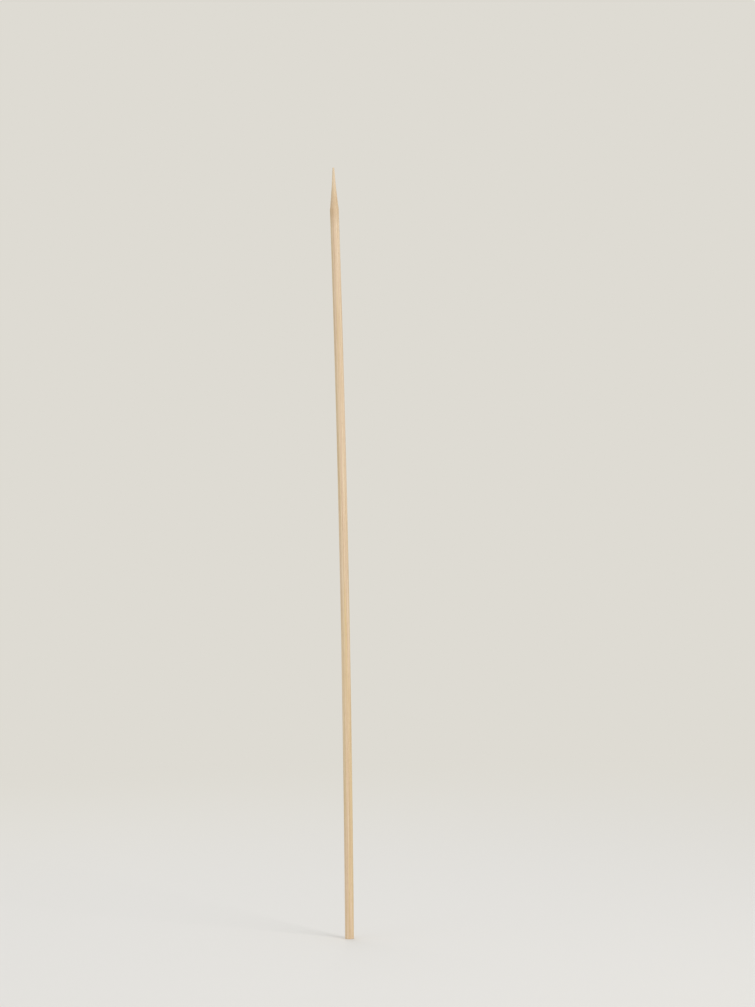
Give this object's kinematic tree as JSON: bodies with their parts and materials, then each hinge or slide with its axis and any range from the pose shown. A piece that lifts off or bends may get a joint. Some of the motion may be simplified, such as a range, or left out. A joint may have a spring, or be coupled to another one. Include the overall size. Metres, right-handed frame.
{
  "type": "bamboo skewer",
  "caption": "Long round bamboo skewer with a ground, slightly hollow taper ending in a blunt tip, a square sawn butt and a slight bow.",
  "frame": {"origin": "centre of the sawn face at the butt", "axes": "+Z from the butt along the stick to the point, +X to the side that the stick bows towards, +Y at right angles to both, away from a viewer who sees the bow go to the right"},
  "size_m": [0.0052, 0.0042, 0.35],
  "materials": {
    "bamboo": "bare shaved bamboo, satin, with fine lengthwise fibres"
  },
  "bodies": {
    "root": {"skewer": "bamboo"}
  },
  "joints": []
}
